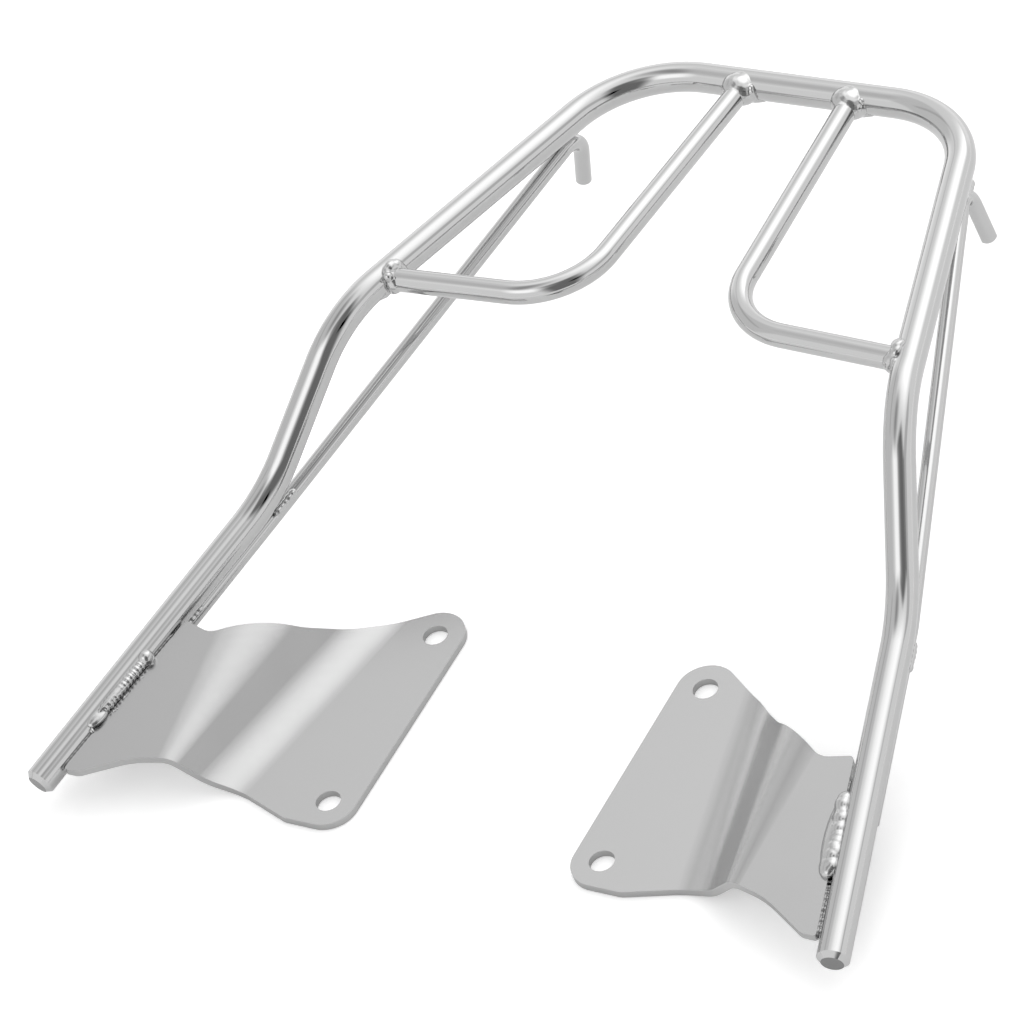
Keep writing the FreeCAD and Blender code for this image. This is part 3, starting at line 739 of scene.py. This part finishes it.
class RACK_OT_rod_beads(bpy.types.Operator):
    """Welds the brace rods to the legs and rails with short beads"""
    bl_idname = "rack.rod_beads"
    bl_label = "Rod beads"

    def execute(self, context):
        sizes = context.scene.rack_welds
        weld = material_named("plated_weld_bead", plated_weld)
        rail_way = (deck(*UPPER_BEND) - deck(*REAR_CORNER)).normalized()
        radius = sizes.tack_r / MM
        for node, size, seed in LEG_BEADS + (RAIL_BEAD,):
            way = rail_way if node == RAIL_BEAD[0] else leg_way()
            low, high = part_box(node)
            middle = (low + high) / 2 / MM
            half = (high.x - low.x) / 2 / MM / way.x - radius
            chance = random.Random(seed)
            drops = []
            for i in range(ROD_RIPPLES):
                shift = half * (2 * i / (ROD_RIPPLES - 1) - 1)
                width = radius * size * (0.94 + 0.12 * chance.random())
                drops.append(ripple(middle + way * shift, way, Vector((0, 0, 1)), radius * 1.1, width, width))
            name = node.replace("_weld", "_bead")
            left = melt(drops, name, sizes.grid, ROD_SMOOTH)
            right = other_side(left, name.replace("left", "right"))
            hand_over(left, name, [node], weld)
            hand_over(right, name.replace("left", "right"), [node.replace("left", "right")], weld)
        return {"FINISHED"}


# Stage

CAMERA_AT = Vector((1.09886, 1.03178, 1.46644))
CAMERA_RIGHT = Vector((-0.45239, 0.85233, -0.26244))
CAMERA_DOWN = Vector((0.69877, 0.15593, -0.69814))
CAMERA_FORWARD = Vector((-0.55413, -0.49922, -0.66613))
LENS = 185.16
CLIP_END = 30
# Beyond this cosine from its axis a panel isn't met at all.
PANEL_LIMIT = 0.04
FLOOR_SIZE = 8.0
FLOOR_DROP = 0.0003


def soft_window(tree, direction, axes, centre, half_sizes, edge, name):
    """1 where a direction meets a flat soft-edged panel, 0 elsewhere. Sizes per unit of distance."""
    depth, across, along = [add(tree, "ShaderNodeVectorMath", {"operation": "DOT_PRODUCT"}) for _ in axes]
    for dot, axis in zip((depth, across, along), axes):
        tree.links.new(direction, dot.inputs[0])
        dot.inputs[1].default_value = axis
    result = arithmetic(tree, "GREATER_THAN", depth.outputs["Value"], PANEL_LIMIT)
    for dot, middle, half in ((across, centre[0], half_sizes[0]), (along, centre[1], half_sizes[1])):
        place = arithmetic(tree, "DIVIDE", dot.outputs["Value"], depth.outputs["Value"])
        reach = arithmetic(tree, "ABSOLUTE", arithmetic(tree, "SUBTRACT", place, middle))
        ramp = add(tree, "ShaderNodeMapRange", {"interpolation_type": "SMOOTHSTEP", "label": name},
                   {"Value": reach, "From Min": half - edge, "From Max": half + edge,
                    "To Min": 1.0, "To Max": 0.0})
        result = arithmetic(tree, "MULTIPLY", result, ramp.outputs["Result"])
    return result


# The tent's panels. Over the rack: name, centre (x, y), half size (x, y), soft edge, brightness, all at
# a height of 1. Beside it: name, azimuth and elevation in degrees, half width and height, edge, brightness.
TENT_LEVEL = 1.02
OVERHEAD = (
    ("rear_softbox", (-1.80, 0.18), (1.46, 0.54), 0.46, 0.88),
    ("front_softbox", (0.93, -0.09), (0.48, 0.41), 0.29, 0.62),
    ("ceiling_gap", (0.15, -0.26), (0.39, 0.20), 0.20, -0.60),
    ("left_seam", (-0.30, 1.53), (0.92, 0.44), 0.12, -0.34),
    ("right_seam", (-1.20, -1.24), (1.60, 0.12), 0.10, -0.22),
)
BESIDE = (
    ("camera_opening", (51.5, 34.7), (0.38, 0.80), 0.18, -0.80),
    ("right_wall", (-85.8, 27.6), (0.58, 0.69), 0.12, -0.21),
    ("rear_horizon", (-150, 5), (0.84, 0.20), 0.18, 0.20),
)


def studio_sky():
    """Pale tent with two softboxes, its grey seams and the dark opening that the camera looks through."""
    world = bpy.data.worlds.new("studio_tent")
    bpy.context.scene.world = world
    world.use_nodes = True
    tree = world.node_tree
    tree.nodes.clear()
    output = tree.nodes.new("ShaderNodeOutputWorld")
    direction = add(tree, "ShaderNodeTexCoord").outputs["Generated"]
    panels = [((Vector((0, 0, 1)), Vector((1, 0, 0)), Vector((0, 1, 0))), name, centre, half, edge, strength)
              for name, centre, half, edge, strength in OVERHEAD]
    for name, (azimuth, elevation), half, edge, strength in BESIDE:
        turn, rise = math.radians(azimuth), math.radians(elevation)
        towards = Vector((math.cos(rise) * math.cos(turn), math.cos(rise) * math.sin(turn), math.sin(rise)))
        right = Vector((-math.sin(turn), math.cos(turn), 0.0))
        panels.append(((towards, right, towards.cross(right)), name, (0.0, 0.0), half, edge, strength))
    level = TENT_LEVEL
    for axes, name, centre, half, edge, strength in panels:
        window = soft_window(tree, direction, axes, centre, half, edge, name)
        level = arithmetic(tree, "MULTIPLY_ADD", window, strength, level)
    tent = add(tree, "ShaderNodeBackground", None, {"Color": (1, 1, 1, 1)})
    tree.links.new(level, tent.inputs["Strength"])
    white = add(tree, "ShaderNodeBackground", None, {"Color": (1, 1, 1, 1), "Strength": 1.0})
    path = add(tree, "ShaderNodeLightPath")
    mix = add(tree, "ShaderNodeMixShader", None, {"Fac": path.outputs["Is Camera Ray"]})
    tree.links.new(tent.outputs[0], mix.inputs[1])
    tree.links.new(white.outputs[0], mix.inputs[2])
    tree.links.new(mix.outputs[0], output.inputs["Surface"])


def studio_floor():
    """Pale floor. The camera and the bright metal see it near white, with the rack's soft shadow. For them it also
    glows with painted light, dim near the rack and brighter farther out.
    """
    deselect()
    bpy.ops.mesh.primitive_plane_add(size=FLOOR_SIZE, location=(0, 0, -FLOOR_DROP))
    floor = bpy.context.object
    floor.name = "studio_floor"
    settle(floor)
    material = bpy.data.materials.new("pale_floor")
    material.use_nodes = True
    tree = material.node_tree
    tree.nodes.clear()
    output = tree.nodes.new("ShaderNodeOutputMaterial")
    colour = hex_to_linear(bpy.context.scene.rack_colours.floor)
    matt = add(tree, "ShaderNodeBsdfDiffuse", None, {"Color": colour})
    place = add(tree, "ShaderNodeTexCoord").outputs["Object"]
    distance = add(tree, "ShaderNodeVectorMath", {"operation": "LENGTH"})
    tree.links.new(place, distance.inputs[0])
    # Painted glow, seen only by the camera and in the metal: dim within 0.5 m of the middle and brighter out to
    # 2.5 m, so the metal shows a painted reflection. The camera gets 0.3 more of it.
    painted_glow_ramp = add(tree, "ShaderNodeMapRange", None,
               {"Value": distance.outputs["Value"], "From Min": 0.5, "From Max": 2.5,
                "To Min": 0.06, "To Max": 0.35})
    path = add(tree, "ShaderNodeLightPath")
    painted_glow_level = arithmetic(tree, "MULTIPLY_ADD", path.outputs["Is Camera Ray"], 0.3, painted_glow_ramp.outputs["Result"])
    glow = add(tree, "ShaderNodeEmission", None, {"Color": (1, 1, 1, 1), "Strength": painted_glow_level})
    lit = add(tree, "ShaderNodeAddShader")
    tree.links.new(matt.outputs[0], lit.inputs[0])
    tree.links.new(glow.outputs[0], lit.inputs[1])
    seen = add(tree, "ShaderNodeMath", {"operation": "MAXIMUM"})
    tree.links.new(path.outputs["Is Camera Ray"], seen.inputs[0])
    tree.links.new(path.outputs["Is Glossy Ray"], seen.inputs[1])
    mix = add(tree, "ShaderNodeMixShader", None, {"Fac": seen.outputs[0]})
    tree.links.new(matt.outputs[0], mix.inputs[1])
    tree.links.new(lit.outputs[0], mix.inputs[2])
    tree.links.new(mix.outputs[0], output.inputs["Surface"])
    floor.data.materials.append(material)


def studio_camera():
    """Camera at the photograph's viewpoint."""
    data = bpy.data.cameras.new("camera")
    data.lens = LENS
    data.clip_end = CLIP_END
    camera = bpy.data.objects.new("camera", data)
    bpy.context.scene.collection.objects.link(camera)
    turn = Matrix((CAMERA_RIGHT, -CAMERA_DOWN, -CAMERA_FORWARD)).transposed()
    camera.matrix_world = Matrix.Translation(CAMERA_AT) @ turn.to_4x4()
    bpy.context.scene.camera = camera


class RACK_OT_stage(bpy.types.Operator):
    """Sets up the floor, the light tent and the camera"""
    bl_idname = "rack.stage"
    bl_label = "Stage"

    def execute(self, context):
        context.scene.view_settings.view_transform = "Standard"
        studio_sky()
        studio_floor()
        studio_camera()
        return {"FINISHED"}


class RACK_PT_panel(bpy.types.Panel):
    """Lists the rack's pieces and their sizes"""
    bl_idname = "RACK_PT_panel"
    bl_label = "Luggage rack"
    bl_space_type = "VIEW_3D"
    bl_region_type = "UI"
    bl_category = "Rack"

    def draw(self, context):
        for group in (context.scene.rack_bars, context.scene.rack_welds, context.scene.rack_colours):
            for name in group.__annotations__:
                self.layout.prop(group, name)
        for operator in OPERATORS:
            self.layout.operator(operator.bl_idname)


GROUPS = (("rack_bars", RackBars), ("rack_welds", RackWelds), ("rack_colours", RackColours))
OPERATORS = (RACK_OT_bars, RACK_OT_plates, RACK_OT_hoop_caps, RACK_OT_hoop_flares, RACK_OT_plate_beads,
             RACK_OT_rod_beads, RACK_OT_stage)


def register():
    for name, group in GROUPS:
        bpy.utils.register_class(group)
        setattr(bpy.types.Scene, name, bpy.props.PointerProperty(type=group))
    for operator in OPERATORS:
        bpy.utils.register_class(operator)
    bpy.utils.register_class(RACK_PT_panel)


def unregister():
    bpy.utils.unregister_class(RACK_PT_panel)
    for operator in reversed(OPERATORS):
        bpy.utils.unregister_class(operator)
    for name, group in reversed(GROUPS):
        delattr(bpy.types.Scene, name)
        bpy.utils.unregister_class(group)


def main():
    register()
    bpy.ops.rack.bars()
    bpy.ops.rack.plates()
    bpy.ops.rack.hoop_caps()
    bpy.ops.rack.hoop_flares()
    bpy.ops.rack.plate_beads()
    bpy.ops.rack.rod_beads()
    bpy.ops.rack.stage()


if __name__ == "__main__":
    main()
